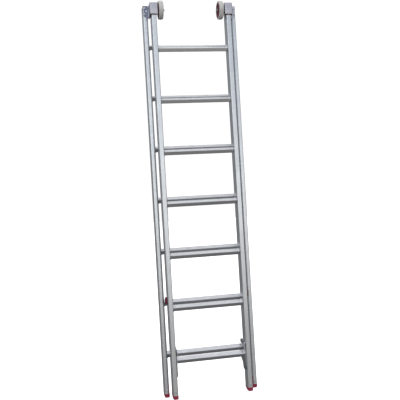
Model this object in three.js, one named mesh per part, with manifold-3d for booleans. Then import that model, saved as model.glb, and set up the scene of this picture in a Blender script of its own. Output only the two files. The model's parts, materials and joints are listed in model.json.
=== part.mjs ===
// Two-section push-up extension ladder, closed up and standing upright on its four feet.
// Millimetres, +Z up, X across the ladder, -Y towards the climber and +Y towards the wall.
// The origin is on the floor, below the centre of the ladder's outer box.
// The wide section behind is the base; the narrow section in front, the fly, slides up it.

import * as THREE from 'three';
import { mergeVertices } from 'three/addons/utils/BufferGeometryUtils.js';
import Module from 'manifold-3d';

const wasm = await Module();
wasm.setup();

// Driving dimensions.
const LADDER_HEIGHT = 1900;
const STILE_WIDTH = 24;
const STILE_DEPTH = 58;
const STILE_WALL = 2;
const STILE_CORNER = 3;
const GAP = 0.3;

const FLY_INNER = 172; // half the clear width between the fly's stiles
const BASE_INNER = 207; // half the clear width between the base's stiles
const FLY_Y = -17; // middle of the fly's stiles, front to back
const BASE_Y = 33; // middle of the base's stiles

const RUNG_COUNT = 7;
const RUNG_PITCH = 250;
const FLY_RUNG_Z = 181; // centre of the lowest rung
const BASE_RUNG_Z = 203;
const RUNG_DEPTH = 32;
const RUNG_HEIGHT = 20;
const RUNG_WALL = 1.8;
const RUNG_CORNER = 3;
const RUNG_TILT = THREE.MathUtils.degToRad(20); // the tread is level when the ladder leans
const RUNG_TAIL = 12; // how far a rung's end reaches into the stile
const COLLAR_RISE = 2.5;
const COLLAR_WIDTH = 3.5;

const FOOT_HEIGHT = 18;
const FOOT_PLUG_TOP = 60;
const FOOT_RIVET_Z = 34;
const CAP_THICKNESS = 2.7;
const STILE_TOP = LADDER_HEIGHT - CAP_THICKNESS - GAP;
const CAP_PLUG_BOTTOM = 1891;
const TOP_PLUG_BOTTOM = 1850;

const WHEEL_Z = 1873;
const WHEEL_RADIUS = 45;
const WHEEL_HALF_WIDTH = 11;
const WHEEL_X = 148; // middle of the wheel's width
const HUB_FLANGE_RADIUS = 36;
const HUB_GROOVE_RADIUS = 31;
const HUB_BOSS_HALF_WIDTH = 11.8;
const WHEEL_SEGMENTS = 20;
const AXLE_RADIUS = 5;
const AXLE_CLEARANCE = 0.4;
const AXLE_SEGMENTS = 12;
const AXLE_TIP_X = 128.5;
const AXLE_ROOT_X = 192;
const SPACER_RADIUS = 12;
const NUT_RADIUS = 9.2; // to the corners
const NUT_HALF_WIDTH = 2.9;

const SHEET = 2.5; // guide bracket's sheet thickness
const GUIDE_TOP = LADDER_HEIGHT;
const GUIDE_BOTTOM = 1845; // lower edge of the bracket's web
const GUIDE_FOOT = 1834; // lowest point of the leg and flange
const FLANGE_CORNER = 1850; // outer end of the flange's sloping lower edge
const FLANGE_TOP = 1898;
const LINER = 2; // guide liner's thickness
const LINER_PLAY = 0.5; // liner to stile
const ROCKING_PLAY = 2; // liner to bracket, for the fly's swing
const LIP_PLAY = 3; // liner to the bracket's lip
const LINER_BOTTOM = 1838;
const LINER_TOP = 1898;

const HOOK_THICKNESS = 4;
const HOOK_FRONT = -27; // from the stile's middle
const HOOK_FLANGE_WIDTH = 8;
const HOOK_FLANGE_HEIGHT = 34;
const HOOK_FLANGE_THICKNESS = 3;
const PAD_THICKNESS = 8.2;
const PAD_BOTTOM = 453;
const PAD_TOP = 485;
const PAD_RADIUS = 10;
const RIVET_SHANK = 2.9;
const RIVET_HEAD = 5.5;
const RIVET_RISE = 2.6;
const RIVET_LENGTH = 10;
const RIVET_SEGMENTS = 8;

function finish(color, roughness, metalness) {
  return new THREE.MeshStandardMaterial({ color, roughness, metalness });
}

const aluminium = finish(0xb4b7ba, 0.38, 1);
const treadAluminium = finish(0xc4c6c8, 0.45, 1);
const zincSteel = finish(0x8d9196, 0.42, 1);
const bracketAluminium = finish(0xb0b3bd, 0.4, 1);
const redPlastic = finish(0x8e1a2c, 0.5, 0);
const darkRedPlastic = finish(0x4a101c, 0.5, 0);
const greyRubber = finish(0x9c9c98, 0.85, 0);
const capPlastic = finish(0x5c6268, 0.6, 0);

const ladder = new THREE.Group();

// ---- Shapes and solids ----

function polygon(points) {
  return new THREE.Shape(points.map(([u, v]) => new THREE.Vector2(u, v)));
}

// Rectangle about (0, 0) with quarter-circle corners.
function roundedRectangle(width, height, radius) {
  const u = width / 2 - radius;
  const v = height / 2 - radius;
  const shape = new THREE.Shape();
  shape.absarc(u, v, radius, 0, Math.PI / 2);
  shape.absarc(-u, v, radius, Math.PI / 2, Math.PI);
  shape.absarc(-u, -v, radius, Math.PI, 1.5 * Math.PI);
  shape.absarc(u, -v, radius, 1.5 * Math.PI, 2 * Math.PI);
  return shape;
}

// A plan outline (x, y) carried from one height to another.
function extrudeUp(shape, low, high) {
  const geometry = new THREE.ExtrudeGeometry(shape, {
    depth: high - low,
    bevelEnabled: false,
    curveSegments: 1,
  });
  return geometry.translate(0, 0, low);
}

// A side outline (y, z) carried across the ladder between two x values.
function extrudeAcross(shape, xa, xb) {
  const low = Math.min(xa, xb);
  const geometry = extrudeUp(shape, 0, Math.abs(xb - xa));
  const axes = new THREE.Matrix4().makeBasis(
    new THREE.Vector3(0, 1, 0),
    new THREE.Vector3(0, 0, 1),
    new THREE.Vector3(1, 0, 0),
  );
  return geometry.applyMatrix4(axes).translate(low, 0, 0);
}

// A front outline (x, z) carried from front to back between two y values.
function extrudeBack(shape, low, high) {
  const geometry = extrudeUp(shape, 0, high - low);
  return geometry.rotateX(Math.PI / 2).translate(0, high, 0);
}

// A ring or disc whose profile (radius, distance along X) turns about the X axis.
function turnAcross(points, segments) {
  const profile = points.map(([radius, along]) => new THREE.Vector2(radius, along));
  return new THREE.LatheGeometry(profile, segments).rotateZ(-Math.PI / 2);
}

// Corner positions merged and triangles without area dropped, as a solid needs.
function toSolid(geometry) {
  const bare = geometry.clone();
  bare.deleteAttribute('normal');
  bare.deleteAttribute('uv');
  const merged = mergeVertices(bare, 1e-4);
  const index = merged.index.array;
  const kept = [];
  for (let i = 0; i < index.length; i += 3) {
    const [a, b, c] = index.slice(i, i + 3);
    if (a !== b && b !== c && c !== a) {
      kept.push(a, b, c);
    }
  }
  return new wasm.Manifold(new wasm.Mesh({
    numProp: 3,
    vertProperties: new Float32Array(merged.attributes.position.array),
    triVerts: new Uint32Array(kept),
  }));
}

function toGeometry(solid) {
  const mesh = solid.getMesh();
  const geometry = new THREE.BufferGeometry();
  geometry.setAttribute('position', new THREE.BufferAttribute(mesh.vertProperties, 3));
  geometry.setIndex(new THREE.BufferAttribute(mesh.triVerts, 1));
  geometry.computeVertexNormals();
  return geometry;
}

function cut(geometry, ...tools) {
  let solid = toSolid(geometry);
  for (const tool of tools) {
    solid = solid.subtract(toSolid(tool));
  }
  return toGeometry(solid);
}

function join(first, ...others) {
  let solid = toSolid(first);
  for (const other of others) {
    solid = solid.add(toSolid(other));
  }
  return toGeometry(solid);
}

function overlap(first, second) {
  return toGeometry(toSolid(first).intersect(toSolid(second)));
}

function place(name, geometry, material, x = 0, y = 0, z = 0) {
  const mesh = new THREE.Mesh(geometry, material);
  mesh.name = name;
  mesh.position.set(x, y, z);
  ladder.add(mesh);
}

// ---- Small parts ----

// Blind rivet with its head's underside at the origin and its head towards -Y.
function rivet() {
  const profile = [
    [0, -RIVET_LENGTH],
    [RIVET_SHANK, -RIVET_LENGTH],
    [RIVET_SHANK, 0],
    [RIVET_HEAD, 0],
    [RIVET_HEAD - 0.6, RIVET_RISE * 0.6],
    [0, RIVET_RISE],
  ];
  return turnAcross(profile, RIVET_SEGMENTS).rotateZ(-Math.PI / 2);
}

// The same rivet with its head towards the middle of the ladder.
function rivetAcross(side) {
  return rivet().rotateZ(side > 0 ? -Math.PI / 2 : Math.PI / 2);
}

function drill(length) {
  return new THREE.CylinderGeometry(
    RIVET_SHANK + GAP, RIVET_SHANK + GAP, length, RIVET_SEGMENTS,
  );
}

// ---- Rungs ----

// The rung's outline in (y, z), grown by an amount and tilted so that its front is lower.
function rungOutline(grow) {
  const outline = roundedRectangle(
    RUNG_DEPTH + 2 * grow, RUNG_HEIGHT + 2 * grow, RUNG_CORNER + grow,
  );
  const turned = outline.getPoints(1).map((p) => p.rotateAround(new THREE.Vector2(), RUNG_TILT));
  return new THREE.Shape(turned);
}

function rungGeometry(halfSpan) {
  const tube = rungOutline(0);
  tube.holes.push(rungOutline(-RUNG_WALL));
  const end = halfSpan + RUNG_TAIL;
  const collarEnd = halfSpan - GAP;
  const collar = rungOutline(COLLAR_RISE);
  collar.holes.push(rungOutline(-RUNG_WALL / 2));
  return join(
    extrudeAcross(tube, -end, end),
    extrudeAcross(collar, collarEnd - COLLAR_WIDTH, collarEnd),
    extrudeAcross(collar, -collarEnd, COLLAR_WIDTH - collarEnd),
  );
}

function addRungs(section, halfSpan, y, lowest) {
  const geometry = rungGeometry(halfSpan);
  for (let i = 0; i < RUNG_COUNT; i += 1) {
    place(`${section}_rung_${i + 1}`, geometry, treadAluminium, 0, y, lowest + i * RUNG_PITCH);
  }
}

// ---- Stiles, feet and top plugs ----

function stileTube() {
  const section = roundedRectangle(STILE_WIDTH, STILE_DEPTH, STILE_CORNER);
  section.holes.push(roundedRectangle(
    STILE_WIDTH - 2 * STILE_WALL, STILE_DEPTH - 2 * STILE_WALL, STILE_CORNER - 1,
  ));
  return extrudeUp(section, FOOT_HEIGHT + GAP, STILE_TOP);
}

// Openings in the stile's inner wall where the rungs enter.
function rungHoles(side, lowest) {
  const hole = extrudeAcross(rungOutline(GAP), 0, -side * STILE_WIDTH);
  const holes = [];
  for (let i = 0; i < RUNG_COUNT; i += 1) {
    holes.push(hole.clone().translate(0, 0, lowest + i * RUNG_PITCH));
  }
  return holes;
}

function frontRivetHole(x, z) {
  return drill(8).translate(x, -STILE_DEPTH / 2, z);
}

function innerRivetHole(side, y, z) {
  return drill(8).rotateZ(Math.PI / 2).translate(-side * STILE_WIDTH / 2, y, z);
}

// The plug that fills the stile's hollow between two heights.
function stilePlug(low, high) {
  const slack = 2 * (STILE_WALL + GAP);
  return extrudeUp(
    roundedRectangle(STILE_WIDTH - slack, STILE_DEPTH - slack, STILE_CORNER - 1), low, high,
  );
}

// Shoe with a flat toe, a heel that rolls up towards the wall and rounded lower sides.
function footGeometry() {
  const reach = STILE_DEPTH / 2;
  const half = STILE_WIDTH / 2 + 0.5;
  const profile = polygon([
    [-reach, FOOT_HEIGHT],
    [-reach, 4],
    [2 - reach, 0],
    [-2, 0],
    [10, 2],
    [20, 7],
    [reach, 14],
    [reach, FOOT_HEIGHT],
  ]);
  const front = polygon([
    [-half, FOOT_HEIGHT],
    [-half, 5],
    [2 - half, 1.5],
    [5 - half, 0],
    [half - 5, 0],
    [half - 2, 1.5],
    [half, 5],
    [half, FOOT_HEIGHT],
  ]);
  const shoe = overlap(
    extrudeAcross(profile, -half, half), extrudeBack(front, -reach - 1, reach + 1),
  );
  const plug = stilePlug(FOOT_HEIGHT - 2, FOOT_PLUG_TOP);
  const rivetBore = drill(2 * RIVET_LENGTH + 2).translate(0, -STILE_DEPTH / 2, FOOT_RIVET_Z);
  return cut(join(shoe, plug), rivetBore);
}

function addFoot(section, label, x, y) {
  place(`${section}_foot_${label}`, footGeometry(), redPlastic, x, y);
  const headSeat = y - STILE_DEPTH / 2 - GAP;
  place(`${section}_foot_rivet_${label}`, rivet(), zincSteel, x, headSeat, FOOT_RIVET_Z);
}

function topLid() {
  return extrudeUp(
    roundedRectangle(STILE_WIDTH, STILE_DEPTH, STILE_CORNER),
    LADDER_HEIGHT - CAP_THICKNESS, LADDER_HEIGHT,
  );
}

// ---- Base section ----

const GUIDE_RIVETS = [ // outwards from the stile's middle, and height
  [4, 1887],
  [-5, 1873],
  [4, 1857],
];

function addBaseStile(side, label) {
  const x = side * (BASE_INNER + STILE_WIDTH / 2);
  const stile = cut(
    stileTube(),
    ...rungHoles(side, BASE_RUNG_Z),
    frontRivetHole(0, FOOT_RIVET_Z),
    ...GUIDE_RIVETS.map(([dx, z]) => frontRivetHole(side * dx, z)),
  );
  place(`base_stile_${label}`, stile, aluminium, x, BASE_Y);
  addFoot('base', label, x, BASE_Y);
  const cap = join(topLid(), stilePlug(CAP_PLUG_BOTTOM, LADDER_HEIGHT - 1));
  place(`base_top_cap_${label}`, cap, capPlastic, x, BASE_Y);
}

// Plan positions that the bracket and its liner share, for the right-hand side.
const FLY_OUTER = FLY_INNER + STILE_WIDTH;
const STILE_FRONT = FLY_Y - STILE_DEPTH / 2;
const LINER_FRONT = STILE_FRONT - LINER_PLAY - LINER;
const WEB_BACK = LINER_FRONT - ROCKING_PLAY;
const WEB_FRONT = WEB_BACK - SHEET;
const LIP_BACK = -38;
const LEG_INSIDE = FLY_OUTER + LINER_PLAY + LINER + ROCKING_PLAY;
const LEG_OUTSIDE = LEG_INSIDE + SHEET;
const LIP_OUTSIDE = FLY_INNER - LINER_PLAY - LINER - LIP_PLAY;
const LIP_INSIDE = LIP_OUTSIDE - SHEET;
const FLANGE_BACK = BASE_Y - STILE_DEPTH / 2 - GAP;
const FLANGE_FRONT = FLANGE_BACK - SHEET;
const FLANGE_END = BASE_INNER + STILE_WIDTH - 3;

// Folded sheet: a short lip, a web across the fly stile's front, a leg back through the
// space between the stiles, and a flange riveted to the front of the base stile.
function guideBracket(side) {
  const bend = 1.5;
  const outline = polygon([
    [side * (LIP_INSIDE + bend), WEB_FRONT],
    [side * (LEG_OUTSIDE - bend), WEB_FRONT],
    [side * LEG_OUTSIDE, WEB_FRONT + bend],
    [side * LEG_OUTSIDE, FLANGE_FRONT],
    [side * FLANGE_END, FLANGE_FRONT],
    [side * FLANGE_END, FLANGE_BACK],
    [side * (LEG_INSIDE + bend), FLANGE_BACK],
    [side * LEG_INSIDE, FLANGE_BACK - bend],
    [side * LEG_INSIDE, WEB_BACK],
    [side * LIP_OUTSIDE, WEB_BACK],
    [side * LIP_OUTSIDE, LIP_BACK],
    [side * LIP_INSIDE, LIP_BACK],
    [side * LIP_INSIDE, WEB_FRONT + bend],
  ]);
  const belowWeb = polygon([
    [WEB_FRONT - 5, GUIDE_FOOT - 5],
    [FLANGE_FRONT, GUIDE_FOOT - 5],
    [FLANGE_FRONT, GUIDE_FOOT],
    [WEB_BACK, GUIDE_BOTTOM],
    [WEB_FRONT - 5, GUIDE_BOTTOM],
  ]);
  const aroundFlange = [
    polygon([
      [side * LEG_OUTSIDE, FLANGE_TOP],
      [side * (FLANGE_END + 5), FLANGE_TOP],
      [side * (FLANGE_END + 5), GUIDE_TOP + 5],
      [side * LEG_OUTSIDE, GUIDE_TOP + 5],
    ]),
    polygon([
      [side * LEG_OUTSIDE, GUIDE_FOOT - 5],
      [side * (FLANGE_END + 5), GUIDE_FOOT - 5],
      [side * (FLANGE_END + 5), FLANGE_CORNER],
      [side * FLANGE_END, FLANGE_CORNER],
      [side * LEG_OUTSIDE, GUIDE_FOOT],
    ]),
  ].map((outline) => extrudeBack(outline, FLANGE_FRONT - 5, FLANGE_BACK + 5));
  const stileX = side * (BASE_INNER + STILE_WIDTH / 2);
  return cut(
    extrudeUp(outline, GUIDE_FOOT, GUIDE_TOP),
    extrudeAcross(belowWeb, side * (LIP_INSIDE - 5), side * (LEG_OUTSIDE + 1)),
    ...aroundFlange,
    ...GUIDE_RIVETS.map(([dx, z]) => drill(12).translate(stileX + side * dx, FLANGE_BACK, z)),
  );
}

// U-shaped plastic liner that hugs the fly stile inside the bracket.
function guideLiner(side) {
  const inner = FLY_INNER - LINER_PLAY;
  const outer = FLY_OUTER + LINER_PLAY;
  const back = LINER_FRONT + LINER;
  return extrudeUp(polygon([
    [side * (inner - LINER), LINER_FRONT],
    [side * (outer + LINER), LINER_FRONT],
    [side * (outer + LINER), FLY_Y + 27],
    [side * outer, FLY_Y + 27],
    [side * outer, back],
    [side * inner, back],
    [side * inner, LIP_BACK],
    [side * (inner - LINER), LIP_BACK],
  ]), LINER_BOTTOM, LINER_TOP);
}

function addGuide(side, label) {
  place(`guide_bracket_${label}`, guideBracket(side), bracketAluminium);
  place(`guide_liner_${label}`, guideLiner(side), darkRedPlastic);
  const stileX = side * (BASE_INNER + STILE_WIDTH / 2);
  GUIDE_RIVETS.forEach(([dx, z], i) => {
    const x = stileX + side * dx;
    place(`guide_rivet_${label}_${i + 1}`, rivet(), zincSteel, x, FLANGE_FRONT - GAP, z);
  });
}

// ---- Fly section ----

const HOOK_RIVETS = [ // y from the stile's middle, and height
  [-12, BASE_RUNG_Z + 23],
  [10, BASE_RUNG_Z - 75],
];

function axleHole(radius, xa, xb) {
  const hole = new THREE.CylinderGeometry(radius, radius, Math.abs(xb - xa), AXLE_SEGMENTS);
  return hole.rotateZ(Math.PI / 2).translate((xa + xb) / 2, 0, WHEEL_Z);
}

function addFlyStile(side, label) {
  const x = side * (FLY_INNER + STILE_WIDTH / 2);
  const bore = AXLE_RADIUS + GAP;
  const stile = cut(
    stileTube(),
    ...rungHoles(side, FLY_RUNG_Z),
    frontRivetHole(0, FOOT_RIVET_Z),
    ...HOOK_RIVETS.map(([dy, z]) => innerRivetHole(side, dy, z)),
    axleHole(bore, 0, -side * STILE_WIDTH),
  );
  place(`fly_stile_${label}`, stile, aluminium, x, FLY_Y);
  addFoot('fly', label, x, FLY_Y);
  const plug = cut(
    join(topLid(), stilePlug(TOP_PLUG_BOTTOM, LADDER_HEIGHT - 1)),
    axleHole(bore, side * (AXLE_ROOT_X + 1) - x, -side * STILE_WIDTH),
  );
  place(`fly_top_plug_${label}`, plug, capPlastic, x, FLY_Y);
}

// Fork plate on the stile's inner face. It fits round the fly's lowest rung, and its jaws
// reach back above and below the base's lowest rung, so its mouth opens towards the wall.
// The outline is in (y from the stile's middle, z from the base rung's centre).
function rungHook(side) {
  const innerFace = FLY_INNER - GAP;
  const outline = polygon([
    [HOOK_FRONT, -81],
    [-12, -102],
    [22, -102],
    [28.5, -97],
    [33, -75],
    [71, -48],
    [73, -44],
    [73, -21],
    [70, -18],
    [32, -18],
    [28.5, -15],
    [28.5, 17],
    [31, 19],
    [59, 19],
    [62, 22],
    [62, 34],
    [59, 38],
    [27, 45],
    [-23, 37],
    [HOOK_FRONT, 33],
  ]);
  const plate = extrudeAcross(outline, side * (innerFace - HOOK_THICKNESS), side * innerFace);
  plate.translate(0, 0, BASE_RUNG_Z);
  const flange = new THREE.BoxGeometry(
    HOOK_FLANGE_WIDTH, HOOK_FLANGE_THICKNESS, HOOK_FLANGE_HEIGHT,
  );
  flange.translate(
    side * (innerFace - HOOK_FLANGE_WIDTH / 2),
    HOOK_FRONT + HOOK_FLANGE_THICKNESS / 2,
    BASE_RUNG_Z + HOOK_FLANGE_HEIGHT / 2 + 1,
  );
  const rungWay = extrudeAcross(rungOutline(COLLAR_RISE + GAP), 0, side * 2 * FLY_INNER);
  rungWay.translate(0, 0, FLY_RUNG_Z);
  const rivetWays = HOOK_RIVETS.map(
    ([dy, z]) => drill(12).rotateZ(Math.PI / 2).translate(side * innerFace, dy, z),
  );
  return cut(join(plate, flange), rungWay, ...rivetWays);
}

function addHook(side, label) {
  place(`rung_hook_${label}`, rungHook(side), zincSteel, 0, FLY_Y);
  const headSeat = FLY_INNER - GAP - HOOK_THICKNESS - GAP;
  HOOK_RIVETS.forEach(([dy, z], i) => {
    const name = `hook_rivet_${label}_${i + 1}`;
    place(name, rivetAcross(side), zincSteel, side * headSeat, FLY_Y + dy, z);
  });
}

// Pad with a rounded top on the stile's outer face, which keeps the fly centred.
function addSidePad(side, label) {
  const outline = new THREE.Shape();
  const arcs = PAD_TOP - PAD_RADIUS;
  outline.moveTo(-9, PAD_BOTTOM);
  outline.lineTo(25, PAD_BOTTOM);
  outline.lineTo(27, PAD_BOTTOM + 2);
  outline.lineTo(27, arcs);
  outline.absarc(27 - PAD_RADIUS, arcs, PAD_RADIUS, 0, Math.PI / 2);
  outline.absarc(PAD_RADIUS - 11, arcs, PAD_RADIUS, Math.PI / 2, Math.PI);
  outline.lineTo(-11, PAD_BOTTOM + 2);
  const near = side * (FLY_OUTER + GAP);
  const far = near + side * PAD_THICKNESS;
  place(`side_pad_${label}`, extrudeAcross(outline, near, far), darkRedPlastic, 0, FLY_Y);
}

// ---- Wall wheels ----

function wheelHub() {
  const bore = AXLE_RADIUS + AXLE_CLEARANCE;
  const half = WHEEL_HALF_WIDTH;
  const boss = HUB_BOSS_HALF_WIDTH;
  return turnAcross([
    [bore, -boss],
    [11, -boss],
    [12, 3 - half],
    [25, 3 - half],
    [27, -half],
    [HUB_FLANGE_RADIUS, -half],
    [HUB_FLANGE_RADIUS, 2.5 - half],
    [HUB_GROOVE_RADIUS, 2.5 - half],
    [HUB_GROOVE_RADIUS, half - 2.5],
    [HUB_FLANGE_RADIUS, half - 2.5],
    [HUB_FLANGE_RADIUS, half],
    [27, half],
    [25, half - 3],
    [12, half - 3],
    [11, boss],
    [bore, boss],
    [bore, -boss],
  ], WHEEL_SEGMENTS);
}

function wheelTyre() {
  const half = WHEEL_HALF_WIDTH;
  const side = HUB_FLANGE_RADIUS + GAP;
  const seat = HUB_GROOVE_RADIUS + GAP;
  const groove = half - 2.5 - GAP;
  return turnAcross([
    [seat, -groove],
    [side, -groove],
    [side, -half],
    [WHEEL_RADIUS - 4, -half],
    [WHEEL_RADIUS - 1, 3.5 - half],
    [WHEEL_RADIUS, -3],
    [WHEEL_RADIUS, 3],
    [WHEEL_RADIUS - 1, half - 3.5],
    [WHEEL_RADIUS - 4, half],
    [side, half],
    [side, groove],
    [seat, groove],
    [seat, -groove],
  ], WHEEL_SEGMENTS);
}

function sleeve(inside, outside, low, high, segments) {
  return turnAcross([
    [inside, low],
    [outside, low],
    [outside, high],
    [inside, high],
    [inside, low],
  ], segments);
}

function addWheel(side, label) {
  const centre = side * WHEEL_X;
  place(`wheel_tyre_${label}`, wheelTyre(), greyRubber, centre, FLY_Y, WHEEL_Z);
  place(`wheel_hub_${label}`, wheelHub(), darkRedPlastic, centre, FLY_Y, WHEEL_Z);
  const axle = new THREE.CylinderGeometry(
    AXLE_RADIUS, AXLE_RADIUS, AXLE_ROOT_X - AXLE_TIP_X, AXLE_SEGMENTS,
  ).rotateZ(Math.PI / 2);
  const axleMiddle = side * (AXLE_ROOT_X + AXLE_TIP_X) / 2;
  place(`wheel_axle_${label}`, axle, zincSteel, axleMiddle, FLY_Y, WHEEL_Z);
  const bore = AXLE_RADIUS + GAP;
  const spacerHalf = (FLY_INNER - WHEEL_X - HUB_BOSS_HALF_WIDTH) / 2 - GAP;
  const spacerX = side * (FLY_INNER - GAP - spacerHalf);
  const spacer = sleeve(bore, SPACER_RADIUS, -spacerHalf, spacerHalf, AXLE_SEGMENTS);
  place(`wheel_spacer_${label}`, spacer, zincSteel, spacerX, FLY_Y, WHEEL_Z);
  const half = NUT_HALF_WIDTH;
  const nutX = side * (WHEEL_X - HUB_BOSS_HALF_WIDTH - GAP - half);
  const nut = cut(
    sleeve(0, NUT_RADIUS, -half, half, 6),
    sleeve(0, bore, -half - 1, half + 1, AXLE_SEGMENTS),
  );
  place(`axle_nut_${label}`, nut, zincSteel, nutX, FLY_Y, WHEEL_Z);
}

// ---- Assembly ----

const SIDES = [
  [-1, 'left'],
  [1, 'right'],
];

addRungs('base', BASE_INNER, BASE_Y, BASE_RUNG_Z);
addRungs('fly', FLY_INNER, FLY_Y, FLY_RUNG_Z);
for (const [side, label] of SIDES) {
  addBaseStile(side, label);
  addGuide(side, label);
  addFlyStile(side, label);
  addHook(side, label);
  addSidePad(side, label);
  addWheel(side, label);
}

export default ladder;
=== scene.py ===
"""Looks of a two-section push-up extension ladder, laid out as a Blender add-on.

Metres, +Z up, X across the ladder, -Y towards the climber. Every piece takes its place from
the solid it stands for, so the pieces fit each other as the solids do.
"""

import json
import math

import bpy
import numpy as np
from mathutils import Matrix, Vector
from mathutils.geometry import delaunay_2d_cdt


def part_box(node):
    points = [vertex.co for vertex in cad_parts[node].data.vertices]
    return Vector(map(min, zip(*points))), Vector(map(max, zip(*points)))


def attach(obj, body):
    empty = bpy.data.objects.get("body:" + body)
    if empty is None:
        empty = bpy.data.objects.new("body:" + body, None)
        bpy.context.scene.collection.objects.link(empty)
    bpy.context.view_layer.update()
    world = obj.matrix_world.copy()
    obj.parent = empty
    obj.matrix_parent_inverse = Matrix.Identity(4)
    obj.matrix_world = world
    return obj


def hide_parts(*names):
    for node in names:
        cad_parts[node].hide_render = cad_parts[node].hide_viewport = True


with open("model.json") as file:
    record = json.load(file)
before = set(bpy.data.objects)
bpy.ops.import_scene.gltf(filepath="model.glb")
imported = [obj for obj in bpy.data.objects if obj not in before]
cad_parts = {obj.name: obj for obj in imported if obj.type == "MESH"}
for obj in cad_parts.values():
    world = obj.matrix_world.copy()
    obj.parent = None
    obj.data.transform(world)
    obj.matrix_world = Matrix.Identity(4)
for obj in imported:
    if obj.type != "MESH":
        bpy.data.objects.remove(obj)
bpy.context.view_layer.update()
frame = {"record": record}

bl_info = {
    "name": "Push-up extension ladder",
    "version": (1, 0, 0),
    "blender": (4, 5, 0),
    "location": "3D View > Sidebar > Ladder",
    "description": "Finished pieces of a two-section extension ladder, built round its solids",
    "category": "Object",
}

MM = 0.001
RECORD = frame["record"]
BODY_OF = {node: body for body, nodes in RECORD["behaviour"]["bodies"].items() for node in nodes}
SLOT_OF = {part["node"]: part["material_slot"] for part in RECORD["subparts"]}
SIDES = ((-1, "left"), (1, "right"))
GAP = 0.3 * MM  # between touching pieces
STILE_WALL = 2 * MM
RUNG_TILT = math.radians(20)  # treads are level when the ladder leans on a wall
RUNG_DEPTH = 32 * MM
RUNG_HEIGHT = 20 * MM
RUNG_WALL = 1.8 * MM
COLLAR_RISE = 2.5 * MM
SHEET = 2.5 * MM  # thickness of the brackets' sheet
RIM_STEPS = 3  # facets round an eased edge
HAIR = 1e-6  # metres, for comparing places


def box(node):
    """Lowest corner, highest corner and middle of a solid, as numpy arrays in metres."""
    low, high = (np.array(corner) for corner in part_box(node))
    return low, high, (low + high) / 2


def halves(node):
    """Half the width, depth and height of a solid, and its middle."""
    low, high, middle = box(node)
    return (high - low) / 2, middle


def both(*kinds):
    """Names of the solids of each kind, the left one and the right one."""
    return [f"{kind}_{label}" for kind in kinds for _, label in SIDES]


# ---- Sizes and colours a user would change ----

def size_setting(name, description, default, low, high):
    """A size property. Its default and its range are given in millimetres."""
    return bpy.props.FloatProperty(
        name=name, description=description, default=default * MM, min=low * MM, max=high * MM,
        unit="LENGTH", precision=5)


def count_setting(name, description, default, low, high):
    """A property for a whole number of like features."""
    return bpy.props.IntProperty(
        name=name, description=description, default=default, min=low, max=high)


def angle_setting(name, description, default):
    """An angle property. Its default is given in degrees."""
    return bpy.props.FloatProperty(
        name=name, description=description, default=math.radians(default), subtype="ANGLE",
        unit="ROTATION")


def colour_setting(name, description, *default):
    """A colour property, linear red, green and blue."""
    return bpy.props.FloatVectorProperty(
        name=name, description=description, subtype="COLOR", default=default, min=0, max=1)


class LadderShapes(bpy.types.PropertyGroup):
    """Fine shapes that the solids leave out."""

    flute_depth: size_setting("Flute depth", "Depth of the grooves drawn along a stile", 0.45, 0, 1)
    tread_ribs: count_setting("Tread ribs", "Ribs along the top of a rung", 7, 3, 12)
    rib_height: size_setting("Rib height", "Height of a tread rib", 0.8, 0, 1.5)
    sheet_edge: size_setting("Sheet edge", "Rounding of a cut edge of sheet metal", 0.5, 0.1, 1)
    sole_ribs: count_setting("Sole ribs", "Ribs across the sole of a foot", 6, 2, 10)
    sole_groove: size_setting(
        "Sole groove", "Depth of the grooves between the sole's ribs", 1.4, 0, 2.5)
    hub_spokes: count_setting(
        "Hub spokes", "Stiffening ribs on each face of a wheel's hub", 6, 3, 12)


class LadderFinishes(bpy.types.PropertyGroup):
    """Colours and wear."""

    stile: colour_setting("Stiles", "Drawn aluminium of the stiles", 0.66, 0.68, 0.70)
    tread: colour_setting("Rungs", "Drawn aluminium of the rungs", 0.74, 0.75, 0.78)
    sheet: colour_setting("Brackets", "Folded aluminium sheet", 0.51, 0.505, 0.555)
    zinc: colour_setting("Zinc", "Zinc-plated steel", 0.40, 0.42, 0.45)
    red: colour_setting("Feet", "Crimson moulded plastic", 0.34, 0.020, 0.055)
    dark_red: colour_setting("Hubs and liners", "Dark red moulded plastic", 0.14, 0.013, 0.035)
    rubber: colour_setting("Tyres", "Grey rubber", 0.72, 0.70, 0.68)
    cap: colour_setting("Caps", "Dark grey moulded plastic", 0.10, 0.11, 0.12)
    wear: bpy.props.FloatProperty(
        name="Wear", description="Strength of scuffs, rubbed edges and dust",
        default=0.5, min=0, max=1, subtype="FACTOR")


class LadderStage(bpy.types.PropertyGroup):
    """Floor, lights and camera."""

    azimuth: angle_setting(
        "Azimuth", "Camera's angle round the ladder from square in front", -10.97)
    elevation: angle_setting("Elevation", "Camera's angle above its aim point", -0.60)
    roll: angle_setting("Roll", "Turn of the camera about its own line of sight", -3.35)
    distance: bpy.props.FloatProperty(
        name="Distance", description="Camera to aim point", default=3.047, unit="LENGTH")
    aim: bpy.props.FloatVectorProperty(
        name="Aim", description="Point at the middle of the view",
        default=(-0.004, 0, 0.9441), subtype="TRANSLATION", unit="LENGTH")
    lens: bpy.props.FloatProperty(
        name="Lens", description="Focal length on a 36 mm sensor, in millimetres", default=55.97)
    key: bpy.props.FloatProperty(
        name="Key", description="Power of the large soft light", default=18, unit="POWER")
    fill: bpy.props.FloatProperty(
        name="Surroundings", description="Brightness of the studio round the ladder",
        default=2.05)


# ---- Outlines and surfaces, as whole arrays ----

def around(*segments):
    """Segments of an outline joined end to end."""
    return np.concatenate([np.asarray(s, float) for s in segments])


def circle(turn):
    """Points of the unit circle at the given turns."""
    return np.stack([np.cos(turn), np.sin(turn)], axis=-1)


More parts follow.
